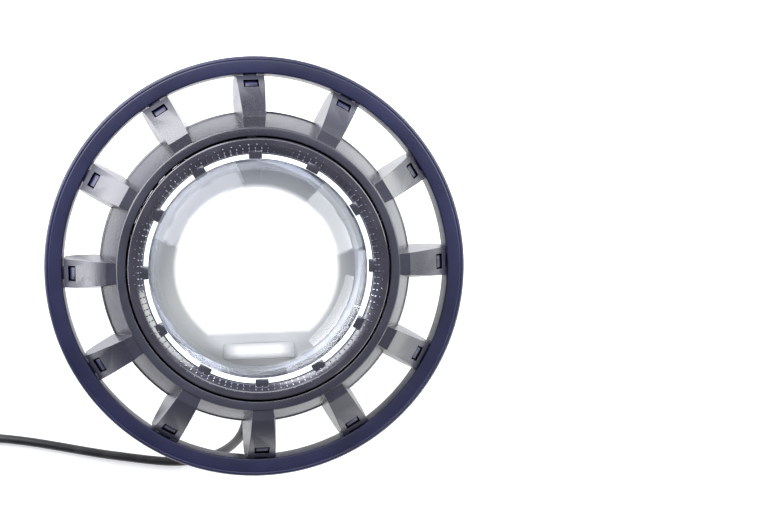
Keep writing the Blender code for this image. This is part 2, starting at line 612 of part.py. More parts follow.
NYLON_BLACK = finish("black_nylon", (0.020, 0.020, 0.021), 0.45)
RUBBER = finish("rubber", (0.015, 0.015, 0.015), 0.75)
BOARD = finish("board", (0.75, 0.76, 0.74), 0.45)
EMITTER = finish("light_chips", (0.90, 0.80, 0.35), 0.40)
CLEAR = finish("clear_lens", (0.85, 0.90, 0.95), 0.05)

outer_ring()
spoke_carrier()
mounting_bracket()
foot_sleeves()
carrier_screws()
pivots()
heat_sink()
sink_screws()
lamp_housing()
optics()
light_source()
aiming()
vent_and_gland()
lead()
coil_tie()
connector()
latch()
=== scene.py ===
import math

import bmesh
import bpy
from mathutils import Matrix, Vector


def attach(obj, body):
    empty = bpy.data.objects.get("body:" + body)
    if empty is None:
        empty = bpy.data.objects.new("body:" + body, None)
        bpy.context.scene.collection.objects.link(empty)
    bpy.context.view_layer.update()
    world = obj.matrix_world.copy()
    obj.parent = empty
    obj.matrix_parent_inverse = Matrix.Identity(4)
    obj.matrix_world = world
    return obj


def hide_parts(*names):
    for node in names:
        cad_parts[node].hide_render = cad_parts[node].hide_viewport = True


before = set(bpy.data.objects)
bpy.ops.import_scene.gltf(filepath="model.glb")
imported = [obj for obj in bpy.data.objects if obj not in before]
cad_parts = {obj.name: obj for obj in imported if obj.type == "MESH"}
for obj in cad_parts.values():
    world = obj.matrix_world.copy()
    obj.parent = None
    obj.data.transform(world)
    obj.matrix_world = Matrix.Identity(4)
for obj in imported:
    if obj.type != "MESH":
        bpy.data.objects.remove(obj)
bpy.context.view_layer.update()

# Camera: stands well back in front of the lamp, a little up and to the left of its axis.
# It is aimed past the lamp's right side, so the lamp sits left of the middle.
EYE = Vector((-0.0815, 0.0668, 1.2584))
RING_CENTRE = Vector((0.0, 0.0, 0.063))
LEAN = math.radians(1.7)
AIM_RIGHT, AIM_UP = 0.04064, 0.00339
inward = (RING_CENTRE - EYE).normalized()
level = inward.cross(Vector((0, 1, 0))).normalized()
upright = level.cross(inward)
side = level * math.cos(LEAN) - upright * math.sin(LEAN)
head = level * math.sin(LEAN) + upright * math.cos(LEAN)
gaze = (inward + side * AIM_RIGHT + head * AIM_UP).normalized()
side = gaze.cross(head).normalized()
camera = bpy.data.objects.new("camera", bpy.data.cameras.new("camera"))
bpy.context.scene.collection.objects.link(camera)
camera.data.lens = 147.9
camera.data.clip_end = 20.0
facing = Matrix((side, side.cross(gaze), -gaze)).transposed().to_4x4()
camera.matrix_world = Matrix.Translation(EYE) @ facing
bpy.context.scene.camera = camera
bpy.context.scene.view_settings.view_transform = "Standard"

# Lead: a two-core cable in a round black jacket, 3.5 mm thick, out of the gland and down to the table.
# It runs along the table to a coil of two and a quarter turns, and over the coil's edge to its connector.
MM = 0.001
CORD_R = 1.75 * MM
COIL_X, COIL_Y, COIL_R = -126.0, -47.0, 20.15
COIL_DEGREES = 810
STRAND_GAP, STRAND_LIFT, TABLE_Z = 3.6, 3.55, 1.8
from_gland = [
    (-3.5, -54.2, 38.0), (-3.5, -58.0, 37.9), (-4.1, -63.0, 35.6), (-6.2, -68.6, 29.6),
    (-10.0, -73.6, 19.6), (-15.4, -77.4, 9.8), (-21.6, -79.5, 4.0), (-28.5, -80.3, 1.95),
    (-37.0, -79.7, 1.8), (-48.5, -77.9, 1.8), (-60.4, -75.8, 1.8), (-73.0, -73.1, 1.8),
    (-87.0, -70.2, 1.8), (-100.0, -68.2, 1.8), (-112.6, -67.25, 1.8),
]
to_connector = [(-142.6, -40.5, 5.4), (-142.6, -35.0, 5.45), (-142.6, -28.5, 5.75), (-142.6, -22.3, 6.0)]


def share_of_turn(turn, start, over):
    """0 up to a start in degrees round the coil, and 1 when it is passed by so many, smooth in between."""
    share = min(1.0, max(0.0, (turn - start) / over))
    return share * share * (3 - 2 * share)


def coil_point(turn):
    """The coil's middle line: a second turn inside the first, then a quarter turn that climbs over both."""
    reach = COIL_R - STRAND_GAP * share_of_turn(turn, 285, 85)
    height = TABLE_Z + STRAND_LIFT * share_of_turn(turn, 640, 60)
    bearing = math.radians(-90 - turn)
    return COIL_X + reach * math.cos(bearing), COIL_Y + reach * math.sin(bearing), height


def smooth_line(points, cuts):
    """Points on a smooth curve through those given, with this many to each span."""
    points = [Vector(p) * MM for p in points]
    points = [2 * points[0] - points[1], *points, 2 * points[-1] - points[-2]]
    line = []
    for a, b, c, d in zip(points, points[1:], points[2:], points[3:]):
        for k in range(cuts):
            t = k / cuts
            bend = (2 * a - 5 * b + 4 * c - d) * t * t + (3 * b - a - 3 * c + d) * t ** 3
            line.append(0.5 * (2 * b + (c - a) * t + bend))
    return line + [points[-2]]


def tube(line, radius, sides=20):
    """A closed round tube along a line. Its UV map has its length in metres and its way round in turns."""
    bm = bmesh.new()
    uv = bm.loops.layers.uv.new("jacket")
    ahead = (line[1] - line[0]).normalized()
    across = ahead.orthogonal().normalized()
    rings = []
    run = []
    travelled = 0.0
    for k, point in enumerate(line):
        new = (line[min(k + 1, len(line) - 1)] - line[max(k - 1, 0)]).normalized()
        across = (ahead.rotation_difference(new) @ across).normalized()
        ahead = new
        up = ahead.cross(across)
        angles = [2 * math.pi * i / sides for i in range(sides)]
        around = [math.cos(a) * across + math.sin(a) * up for a in angles]
        rings.append([bm.verts.new(point + radius * away) for away in around])
        travelled += (point - line[max(k - 1, 0)]).length
        run.append(travelled)
    for k in range(len(line) - 1):
        for i in range(sides):
            j = (i + 1) % sides
            face = bm.faces.new((rings[k][i], rings[k][j], rings[k + 1][j], rings[k + 1][i]))
            places = ((run[k], i), (run[k], i + 1), (run[k + 1], i + 1), (run[k + 1], i))
            for loop, (length, step) in zip(face.loops, places):
                loop[uv].uv = (length, step / sides)
    bm.faces.new(rings[0][::-1])
    bm.faces.new(rings[-1])
    return bm


class Wire:
    """A socket in a finish's node tree. A sum written on it adds the Math nodes."""

    def __init__(self, finish, socket):
        self.finish, self.socket = finish, socket

    def maths(self, operation, first, second):
        return self.finish.node("Math", {"operation": operation}, {0: first, 1: second})

    def __add__(self, other):
        return self.maths("ADD", self, other)

    def __sub__(self, other):
        return self.maths("SUBTRACT", self, other)

    def __mul__(self, other):
        return self.maths("MULTIPLY", self, other)

    def __pow__(self, other):
        return self.maths("POWER", self, other)

    def __rsub__(self, other):
        return self.maths("SUBTRACT", other, self)

    __radd__, __rmul__ = __add__, __mul__

    def most(self, other):
        return self.maths("MAXIMUM", self, other)


class Finish:
    """A procedural material. node() adds a node: its settings first, then its sockets' values or links."""

    def __init__(self, name, constants):
        self.material = bpy.data.materials.new(name)
        self.material.use_nodes = True
        self.tree = self.material.node_tree
        self.shader = self.tree.nodes["Principled BSDF"]
        self.fill(self.shader, constants)
        self.place = self.node("TexCoord", out="Object")

    def fill(self, node, sockets):
        for name, value in sockets.items():
            socket = node.inputs[name]
            if isinstance(value, Wire):
                self.tree.links.new(value.socket, socket)
            elif isinstance(value, tuple) and socket.type == "RGBA":
                socket.default_value = (*value, 1.0)
            else:
                socket.default_value = value

    def node(self, kind, settings=None, sockets=None, out=0):
        made = self.tree.nodes.new("ShaderNode" + kind)
        for name, value in (settings or {}).items():
            setattr(made, name, value)
        self.fill(made, sockets or {})
        return Wire(self, made.outputs[out])

    def axes(self):
        """The object's X, Y and Z, in metres."""
        split = self.node("SeparateXYZ", {}, {"Vector": self.place})
        return [Wire(self, socket) for socket in split.socket.node.outputs]

    def noise(self, scale, detail=2.0, where=None):
        return self.node("TexNoise", {}, {"Vector": where or self.place, "Scale": scale, "Detail": detail})

    def stretched(self, source, scale):
        return self.node("Mapping", {}, {"Vector": source, "Scale": Vector(scale)})

    def between(self, share, low, high):
        """0 below low and 1 above high, straight in between."""
        return self.node("MapRange", {}, {0: share, 1: low, 2: high})

    def blend(self, share, first, second):
        return self.node("Mix", {"data_type": "RGBA"}, {0: share, 6: first, 7: second}, 2)

    def wear(self, **sockets):
        self.fill(self.shader, {name.replace("_", " "): value for name, value in sockets.items()})

    def relief(self, height, depth, strength=1.0, edge=0.0002):
        """Bump of this depth in metres, on edges broken by a small radius."""
        corner = self.node("Bevel", {"samples": 4}, {"Radius": edge})
        return self.node("Bump", {}, {
            "Strength": strength, "Distance": depth, "Height": height, "Normal": corner})


def mesh_of(bm, name="shape"):
    """A shape's plain mesh, with its doubles merged and its faces out."""
    bmesh.ops.remove_doubles(bm, verts=bm.verts, dist=1e-7)
    bmesh.ops.recalc_face_normals(bm, faces=bm.faces)
    mesh = bpy.data.meshes.new(name)
    bm.to_mesh(mesh)
    bm.free()
    return mesh


def piece(name, shapes, finish, body, nodes=(), sharp=32.0):
    """Makes one piece from closed shapes, with its faces out, and puts it on its CAD body."""
    whole = bmesh.new()
    for shape in shapes:
        whole.from_mesh(mesh_of(shape, name) if isinstance(shape, bmesh.types.BMesh) else shape)
    for edge in whole.edges:
        edge.smooth = len(edge.link_faces) == 2 and edge.calc_face_angle() < math.radians(sharp)
    for face in whole.faces:
        face.smooth, face.material_index = True, 0
    mesh = bpy.data.meshes.new(name)
    whole.to_mesh(mesh)
    whole.free()
    mesh.materials.append(finish.material)
    made = bpy.data.objects.new(name, mesh)
    bpy.context.scene.collection.objects.link(made)
    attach(made, body)
    if nodes:
        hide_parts(*nodes)
    return made


jacket = Finish("lead_jacket", {"Specular IOR Level": 0.5})
along = jacket.node("UVMap", {"uv_map": "jacket"})
drawn = jacket.noise(1.0, 3.0, jacket.stretched(along, (900.0, 14.0, 1.0)))
dust = jacket.between(jacket.noise(160.0, 4.0), 0.5, 0.72)
jacket.wear(Base_Color=jacket.blend(dust, (0.005, 0.005, 0.006), (0.018, 0.018, 0.019)),
            Roughness=0.33 + drawn * 0.16 + dust * 0.12, Normal=jacket.relief(drawn, 0.00006, 0.7))
coil = [coil_point(turn) for turn in range(0, COIL_DEGREES + 1, 15)]
lead_line = smooth_line(from_gland + coil + to_connector, 3)
lead_length = sum((b - a).length for a, b in zip(lead_line, lead_line[1:]))
lead = piece("lead", [tube(lead_line, CORD_R)], jacket, "lamp",
             ("cable", "cable_coil", "cable_tail"))


# Bezel's outer ring: one satin navy-black moulding with a rolled front lip, open behind.
# Twelve tongues on its inner edge snap into the carrier's arms.
def eased(profile, radius, steps=3):
    """A closed profile with each corner rounded, by no more than its sides allow."""
    made = []
    for before, here, after in zip(profile[-1:] + profile[:-1], profile, profile[1:] + profile[:1]):
        here = Vector(here)
        back, on = Vector(before) - here, Vector(after) - here
        reach = min(radius, 0.45 * back.length, 0.45 * on.length)
        start, end = here + back.normalized() * reach, here + on.normalized() * reach
        for k in range(steps + 1):
            t = k / steps
            made.append(tuple((1 - t) ** 2 * start + 2 * t * (1 - t) * here + t * t * end))
    return made


def turned(profile, steps=144, loop=True, axis=(0.0, 0.0)):
    """A profile of (radius, height) in mm turned about +Z. A radius may be a function of the angle."""
    bm = bmesh.new()
    rings = []
    for reach, height in profile:
        ring = []
        for k in range(steps if callable(reach) or reach > 1e-6 else 1):
            angle = 2 * math.pi * k / steps
            r = reach(angle) if callable(reach) else reach
            place = Vector((axis[0] + r * math.cos(angle), axis[1] + r * math.sin(angle), height))
            ring.append(bm.verts.new(place * MM))
        rings.append(ring)
    for near, far in zip(rings, rings[1:] + (rings[:1] if loop else [])):
        for k in range(steps):
            on = k + 1
            corners = []
            for ring, i in ((near, k), (near, on), (far, on), (far, k)):
                if ring[i % len(ring)] not in corners:
                    corners.append(ring[i % len(ring)])
            if len(corners) > 2:
                bm.faces.new(corners)
    return bm


def block(size, centre, ease=0.25, tip=0.0):
    """A box in millimetres with rounded edges, tipped about Y at its centre."""
    bm = bmesh.new()
    place = (Matrix.Translation(Vector(centre) * MM) @ Matrix.Rotation(tip, 4, "Y")
             @ Matrix.Diagonal((*(Vector(size) * MM), 1.0)))
    bmesh.ops.create_cube(bm, size=1.0, matrix=place)
    if ease:
        bmesh.ops.bevel(bm, geom=bm.edges[:], offset=ease * MM, segments=2, affect="EDGES", profile=0.5)
    return bm


def repeated(shape, count, first=0.0, uneven=0.0):
    """Copies of a shape turned evenly about the optical axis, as one mesh, by a Geometry Nodes tree."""
    pattern = bpy.data.objects.new("pattern", shape if isinstance(shape, bpy.types.Mesh) else mesh_of(shape))
    bpy.context.scene.collection.objects.link(pattern)
    tree = bpy.data.node_groups.new("copies round the axis", "GeometryNodeTree")
    # The material given here is only a first one: piece() puts each piece's own in its place.
    inputs = {
        "Pattern": ("Object", pattern), "Count": ("Int", count), "First angle": ("Float", first),
        "Step": ("Float", 2 * math.pi / count), "Smallest": ("Float", 1.0 - uneven),
        "Largest": ("Float", 1.0 + uneven), "Seed": ("Int", 7), "Finish": ("Material", jacket.material),
    }
    key = {}
    for label, (kind, _) in inputs.items():
        socket = tree.interface.new_socket(label, in_out="INPUT", socket_type="NodeSocket" + kind)
        key[label] = socket.identifier
    tree.interface.new_socket("Copies", in_out="OUTPUT", socket_type="NodeSocketGeometry")

    def add(kind, links, **settings):
        made = tree.nodes.new(kind)
        for name, value in settings.items():
            setattr(made, name, value)
        for name, source in links.items():
            tree.links.new(source, made.inputs[name])
        return made

    given = tree.nodes.new("NodeGroupInput").outputs
    points = add("GeometryNodePoints", {"Count": given["Count"]})
    index = add("GeometryNodeInputIndex", {})
    swept = add("ShaderNodeMath", {0: index.outputs[0], 1: given["Step"]}, operation="MULTIPLY")
    angle = add("ShaderNodeMath", {0: swept.outputs[0], 1: given["First angle"]}, operation="ADD")
    spin = add("ShaderNodeCombineXYZ", {"Z": angle.outputs[0]})
    size = add("FunctionNodeRandomValue", {"Seed": given["Seed"], 2: given["Smallest"], 3: given["Largest"]},
               data_type="FLOAT")
    source = add("GeometryNodeObjectInfo", {"Object": given["Pattern"]})
    copies = add("GeometryNodeInstanceOnPoints", {
        "Points": points.outputs[0], "Instance": source.outputs["Geometry"],
        "Rotation": spin.outputs[0], "Scale": size.outputs[1]})
    real = add("GeometryNodeRealizeInstances", {0: copies.outputs[0]})
    coated = add("GeometryNodeSetMaterial", {"Geometry": real.outputs[0], "Material": given["Finish"]})
    add("NodeGroupOutput", {0: coated.outputs[0]})
    host = bpy.data.objects.new("copies", bpy.data.meshes.new("copies"))
    bpy.context.scene.collection.objects.link(host)
    modifier = host.modifiers.new("copies", "NODES")
    modifier.node_group = tree
    for label, (_, value) in inputs.items():
        modifier[key[label]] = value
    bpy.context.view_layer.update()
    made = bpy.data.meshes.new_from_object(host.evaluated_get(bpy.context.evaluated_depsgraph_get()))
    for spent in (host, pattern):
        bpy.data.objects.remove(spent)
    return made


def moulded(name, deep, pale, roughness, grain=2600.0, depth=0.00004, edge=0.0002, constants=None):
    """Moulded plastic: a slow drift of tone, a fine spark-eroded grain and softly broken edges."""
    finish = Finish(name, constants or {})
    drift = finish.between(finish.noise(45.0, 4.0), 0.36, 0.64)
    grit = finish.noise(grain, 2.0)
    scuff = finish.between(finish.noise(420.0, 5.0), 0.6, 0.78)
    finish.wear(Base_Color=finish.blend(drift, deep, pale),
                Roughness=roughness + (grit - 0.5) * 0.14 + drift * 0.05 + scuff * 0.08,
                Normal=finish.relief(grit, depth, 0.8, edge))
    return finish


SPOKES = 12
FINE_STEPS = 240
TONGUE_HALF_WIDTH = 2.3
navy_black = moulded("satin_navy_black", (0.004, 0.005, 0.028), (0.007, 0.008, 0.042), 0.34)
trim_profile = [(78.25, 63.0), (78.55, 62.78), (78.85, 63.0), (79.5, 62.85), (80.0, 62.1), (80.0, 57.5),
                (78.6, 57.5), (78.4, 61.0), (74.8, 61.0), (73.8, 54.0), (72.4, 54.0), (73.4, 63.0)]
tongue_sections = [((68.5, 69.4), (69.8, 67.9)), ((68.5, 66.9), (70.1, 66.3)),
                   ((69.3, 61.3), (70.6, 61.3)), ((69.3, 58.3), (73.2, 58.3))]
tongue = bmesh.new()
rows = []
for section in tongue_sections:
    sides = (-TONGUE_HALF_WIDTH, TONGUE_HALF_WIDTH)
    rows.append([tongue.verts.new(Vector((x, y, z)) * MM) for x, z in section for y in sides])
for near, far in zip(rows, rows[1:]):
    for a, b in ((0, 1), (1, 3), (3, 2), (2, 0)):
        tongue.faces.new((near[a], near[b], far[b], far[a]))
tongue.faces.new([rows[0][i] for i in (0, 1, 3, 2)])
tongue.faces.new([rows[-1][i] for i in (2, 3, 1, 0)])
bmesh.ops.recalc_face_normals(tongue, faces=tongue.faces)
bmesh.ops.bevel(tongue, geom=tongue.edges[:], offset=0.15 * MM, segments=2, affect="EDGES", profile=0.5)
foot = block((4.2, 5.0, 3.0), (71.2, 0.0, 59.7), 0.3)
piece("outer_ring_trim",
      [turned(eased(trim_profile, 0.45, 4), FINE_STEPS), repeated(tongue, SPOKES), repeated(foot, SPOKES)],
      navy_black, "bezel", ("outer_ring",))


# Spoked carrier: hub and twelve hollow arms moulded in one, in dark grey satin plastic.
# Each arm steps down from the hub's face in flat facets and ends in a snap window.
def cut_from(shape, cutter):
    """The shape's mesh with the cutter's taken out of it."""
    objects = []
    for given in (shape, cutter):
        made = bpy.data.objects.new("cut", given if isinstance(given, bpy.types.Mesh) else mesh_of(given))
        bpy.context.scene.collection.objects.link(made)
        objects.append(made)
    modifier = objects[0].modifiers.new("cut", "BOOLEAN")
    modifier.operation, modifier.solver, modifier.object = "DIFFERENCE", "EXACT", objects[1]
    bpy.context.view_layer.update()
    evaluated = objects[0].evaluated_get(bpy.context.evaluated_depsgraph_get())
    made = bpy.data.meshes.new_from_object(evaluated)
    for spent in objects:
        bpy.data.objects.remove(spent)
    return made


def broken_edges(mesh, width):
    """The mesh with its sharp edges bevelled."""
    made = bpy.data.objects.new("edges", mesh)
    bpy.context.scene.collection.objects.link(made)
    bevel = made.modifiers.new("edges", "BEVEL")
    bevel.width, bevel.segments, bevel.limit_method = width * MM, 2, "ANGLE"
    bevel.angle_limit = math.radians(24)
    bpy.context.view_layer.update()
    mesh = bpy.data.meshes.new_from_object(made.evaluated_get(bpy.context.evaluated_depsgraph_get()))
    bpy.data.objects.remove(made)
    return mesh


ARM_HALF_ANGLE, ARM_DRAFT, ARM_WALL = math.radians(4.25), math.radians(5), 1.8


def lofted_arm(sections, inset=0.0):
    """An arm's shape outwards, from sections of (front radius, front height, back radius, back height)."""
    bm = bmesh.new()
    rings = []
    for front_r, front_z, back_r, back_z in sections:
        front = front_r * math.sin(ARM_HALF_ANGLE) - inset
        back = back_r * math.sin(ARM_HALF_ANGLE) + (front_z - back_z) * math.tan(ARM_DRAFT) - inset
        corners = ((front_r, front, front_z), (front_r, -front, front_z),
                   (back_r, -back, back_z), (back_r, back, back_z))
        rings.append([bm.verts.new(Vector(corner) * MM) for corner in corners])
    for near, far in zip(rings, rings[1:]):
        for i in range(4):
            j = (i + 1) % 4
            bm.faces.new((near[i], near[j], far[j], far[i]))
    bm.faces.new(rings[0])
    bm.faces.new(rings[-1][::-1])
    return bm


WINDOW_WIDTH = 5.7
SCREW_R, SCREW_SPREAD = 52.6, math.radians(20)
arm_sections = [(52.6, 79.6, 57.6, 61.0), (57.2, 79.5, 59.6, 57.0), (61.4, 77.0, 61.6, 56.0),
                (68.3, 70.0, 68.2, 55.3), (72.6, 63.3, 71.7, 54.6)]
hollow_sections = [(60.8, 74.6, 60.8, 50.0), (61.4, 74.4, 61.4, 50.0), (66.2, 69.4, 66.2, 50.0)]
arm = cut_from(lofted_arm(arm_sections), lofted_arm(hollow_sections, ARM_WALL))
arm = cut_from(arm, block((2.7, WINDOW_WIDTH, 20.0), (69.65, 0.0, 67.0), 0.0))
arm = cut_from(arm, block((6.0, WINDOW_WIDTH, 4.8), (71.3, 0.0, 59.4), 0.0))
arm = broken_edges(arm, 0.16)
hub_profile = [(53.0, 80.0), (53.35, 79.6), (58.5, 61.4), (59.15, 61.0), (59.2, 59.0), (57.0, 59.0),
               (51.7, 77.8), (49.95, 77.8), (49.95, 80.0)]
boss_profile = [(2.5, 60.0), (2.5, 70.5), (1.5, 70.5), (1.5, 59.2), (2.5, 59.2)]
boss = mesh_of(turned(eased(boss_profile, 0.2), 32, True, (SCREW_R, 0.0)))
smoke_black = moulded("smoke_black_carrier", (0.011, 0.010, 0.020), (0.017, 0.017, 0.031), 0.28,
                      grain=2200.0, depth=0.00005, constants={"Specular IOR Level": 0.85})
piece("spoke_carrier_moulding",
      [turned(eased(hub_profile, 0.3, 4), FINE_STEPS), repeated(arm, SPOKES),
       repeated(boss, 2, SCREW_SPREAD), repeated(boss.copy(), 2, math.pi - SCREW_SPREAD)],
      smoke_black, "bezel", ("spoke_carrier",))

# Lens retaining ring: moulded in polished black plastic, and seated over the lens's edge.
# Its sloping bore carries two rows of fine flutes, and twelve tabs hold the lens down.
FLUTES, BEADS, TABS = 120, 90, 12
BORE_SLOPE = math.atan2(1.5, 2.9)
gloss_black = Finish("polished_black", {"Coat Roughness": 0.03, "Specular IOR Level": 0.6})
hairline = gloss_black.noise(1400.0, 3.0, gloss_black.stretched(gloss_black.place, (1.0, 1.0, 0.15)))
smear = gloss_black.between(gloss_black.noise(90.0, 4.0), 0.4, 0.7)
gloss_black.wear(Base_Color=gloss_black.blend(smear, (0.022, 0.021, 0.030), (0.034, 0.032, 0.044)),
                 Roughness=0.10 + smear * 0.08 + hairline * 0.05, Coat_Weight=0.35 + smear * 0.15,
                 Normal=gloss_black.relief(hairline, 0.000006, 0.5))
retainer_profile = [(48.8, 80.5), (49.2, 80.1), (49.2, 74.5), (43.5, 74.5), (43.5, 79.0), (46.4, 80.5)]
tab = block((3.4, 5.0, 0.95), (43.1, 0.0, 79.0), 0.18)
piece("lens_retaining_ring_fluted",
      [turned(eased(retainer_profile, 0.35, 4), FINE_STEPS), repeated(tab, TABS)],
      gloss_black, "lamp", ("lens_retaining_ring",))
# Painted glints: the flute tips' colour is made bright and metallic in patches, as glints on the black
# moulding.
glint = Finish("flute_tips_painted_glints", {"Metallic": 0.75})
painted_glint_patches = glint.between(glint.noise(70.0, 5.0), 0.42, 0.68)
glint.wear(Base_Color=glint.blend(painted_glint_patches, (0.05, 0.05, 0.075), (0.50, 0.53, 0.66)),
           Roughness=0.10 + painted_glint_patches * 0.12, Normal=glint.relief(glint.noise(3000.0), 0.00003, 0.7, 0.0001))
inner_flute = block((0.95, 0.42, 0.40), (44.15, 0.0, 79.36), 0.1, -BORE_SLOPE)
outer_flute = block((0.75, 0.42, 0.40), (45.35, 0.0, 79.98), 0.1, -BORE_SLOPE)
bead = block((0.36, 0.36, 0.24), (46.75, 0.0, 80.52), 0.1)
piece("lens_retaining_ring_flutes",
      [repeated(inner_flute, FLUTES, 0.0, 0.0012), repeated(outer_flute, FLUTES, 0.0, 0.0016),
       repeated(bead, BEADS, 0.02, 0.0012)], glint, "lamp")

# Lens: a clear moulded dome, 2.6 mm thick, whose frosted flange sits on a gasket under the ring's tabs.
# Light from inside runs out through the flange, which shines between the tabs. That glow is painted on the
# flange as emission.
FOOT_R, FOOT_Z, TOP_Z, WALL = 41.3, 78.2, 91.0, 2.6


def dome(foot_r, top_z, foot_z, steps=28):
    """Half the outline of a shallow dome, from its top down to its foot."""
    ball = (foot_r ** 2 + (top_z - foot_z) ** 2) / (2 * (top_z - foot_z))
    reaches = [foot_r * math.sin(math.pi / 2 * k / steps) for k in range(steps + 1)]
    return [(r, top_z - ball + math.sqrt(ball ** 2 - r ** 2)) for r in reaches]


clear = Finish("clear_lens_skin", {"Roughness": 0.02})
gloss = clear.node("BsdfGlossy", {}, {"Color": (0.95, 0.96, 1.0), "Roughness": 0.03})
bare = clear.node("BsdfTransparent", {}, {"Color": (0.985, 0.985, 1.0)})
ripple = clear.node("Bump", {}, {"Strength": 0.2, "Distance": 0.0001, "Height": clear.noise(60.0, 2.0)})
glance = clear.node("Fresnel", {}, {"IOR": 1.5, "Normal": ripple})
skin = clear.node("MixShader", {}, {0: glance * 0.36, 1: bare, 2: gloss})
clear.fill(clear.tree.nodes["Material Output"], {"Surface": skin})
outside = dome(FOOT_R, TOP_Z, FOOT_Z)
inside = dome(FOOT_R - WALL, TOP_Z - WALL, FOOT_Z - WALL)
piece("projector_lens_dome", [turned(outside + inside[::-1], 144, False)],
      clear, "lamp", ("projector_lens",), 50.0)
# Painted glow: the flange's emission stands in for the light carried out from inside.
frost = Finish("frosted_lens_edge_painted_glow", {"Roughness": 0.3, "Emission Strength": 1.0})
ribs = frost.node("TexWave", {"wave_type": "RINGS", "rings_direction": "Z"},
                  {"Vector": frost.place, "Scale": 420.0, "Distortion": 0.4})
cloud = frost.between(frost.noise(220.0, 3.0), 0.35, 0.65)
frost.wear(Base_Color=frost.blend(cloud, (0.62, 0.70, 0.80), (0.86, 0.90, 0.95)),
           Emission_Color=frost.blend(cloud, (0.72, 0.80, 0.90), (1.0, 1.0, 1.0)),
           Normal=frost.relief(ribs, 0.00004, 0.5))
flange_profile = [(43.1, 78.4), (43.1, 75.6), (41.4, 75.6), (41.4, 78.4)]
piece("projector_lens_flange", [turned(eased(flange_profile, 0.25, 3), FINE_STEPS)], frost, "lamp")

# Cut-off shield: a vacuum-metallised moulding behind the lens, whose round opening is cut level below.
# A blank frame is moulded on its lower face and a rib on its upper. Its emission paints a glow round the
# opening's edge and on the frame's panel, and a dim glow over the rest.
OPENING_R, CUT_Y = 30.0, 23.4
FRAME_X, FRAME_LOW, FRAME_HIGH, FRAME_CORNER, FRAME_LINE_R = 12.2, -33.0, -29.6, 1.3, 0.22


def opening(angle, grow=0.0):
    """The opening's reach at an angle: a circle cut flat below, with rounded corners."""
    down = max(1e-6, -math.sin(angle))
    return ((OPENING_R + grow) ** -14 + ((CUT_Y + grow) / down) ** -14) ** (-1 / 14)


shield_profile = [(40.4, 75.4), (39.6, 74.6), (38.2, 72.6), (36.0, 71.0), (33.0, 69.8),
                  (lambda angle: opening(angle, 1.2), 69.0), (opening, 68.5), (opening, 68.0),
                  (39.4, 68.0), (39.8, 74.2), (40.4, 75.1)]
metallised = Finish("metallised_shield_painted_glow", {"Emission Strength": 1.0})
across, upwards, _ = metallised.axes()
reach = (across * across + upwards * upwards) ** 0.5
spread = (reach - OPENING_R * MM).most(-CUT_Y * MM - upwards)
# Painted glow: the opening's edge and the frame's panel are made to emit, though the shield is no lamp.
glow = 1.0 - metallised.between(spread, 0.0, 2.2 * MM)
above_frame = upwards - (FRAME_LOW + FRAME_HIGH) / 2 * MM
beside = (across * across) ** 0.5
off_line = (above_frame * above_frame) ** 0.5
panel = ((1.0 - metallised.between(beside, 7.5 * MM, 13.0 * MM))
         * (1.0 - metallised.between(off_line, 0.9 * MM, 2.7 * MM)))
lit = (glow ** 1.6).most(panel * 0.6)
# Painted light: the shield's colour and its dim glow are painted lighter round the opening and darker towards
# the outer edge.
rim = metallised.between(reach, 31.0 * MM, 39.5 * MM)
cloudy = metallised.between(metallised.noise(55.0, 3.0), 0.35, 0.65)
# Painted reflection: the upper part's colour is painted lighter and bluer, as a reflection of the sky.
painted_sky_sheen = metallised.between(upwards, -0.01, 0.035)
tone = metallised.blend(rim, (0.21, 0.21, 0.205), (0.064, 0.068, 0.068))
painted_dim_glow = metallised.blend(rim, (0.17, 0.18, 0.165), (0.085, 0.088, 0.084))
metallised.wear(Base_Color=metallised.blend(painted_sky_sheen * 0.7, tone, (0.19, 0.20, 0.235)), Metallic=0.55,
                Roughness=0.34 + cloudy * 0.12, Emission_Color=metallised.blend(lit, painted_dim_glow, (1.0, 1.0, 0.97)),
                Normal=metallised.relief(cloudy, 0.0001, 0.4))
frame_line = []
for cx, cy, start in ((FRAME_X, FRAME_HIGH, 0), (-FRAME_X, FRAME_HIGH, 90),
                      (-FRAME_X, FRAME_LOW, 180), (FRAME_X, FRAME_LOW, 270)):
    for k in range(5):
        a = math.radians(start + 22.5 * k)
        x, y = cx + FRAME_CORNER * math.cos(a), cy + FRAME_CORNER * math.sin(a)
        frame_line.append(Vector((x, y, 68.6 + 0.45 * (math.hypot(x, y) - 30) + 0.25)) * MM)
blank_frame = bmesh.new()
loops = []
for k, point in enumerate(frame_line):
    ahead = (frame_line[(k + 1) % len(frame_line)] - frame_line[k - 1]).normalized()
    out = ahead.cross(Vector((0, 0, 1))).normalized()
    up = out.cross(ahead)
    around = [math.cos(a) * out + math.sin(a) * up for a in (math.pi / 3 * i for i in range(6))]
    loops.append([blank_frame.verts.new(point + FRAME_LINE_R * MM * away) for away in around])
for near, far in zip(loops, loops[1:] + loops[:1]):
    for i in range(6):
        j = (i + 1) % 6
        blank_frame.faces.new((near[i], near[j], far[j], far[i]))
rib = block((0.5, 5.6, 1.0), (2.4, 36.2, 71.9), 0.15)
piece("cutoff_shield_moulding", [turned(shield_profile, 192), blank_frame, rib], metallised, "lamp",
      ("cutoff_shield",), 40.0)

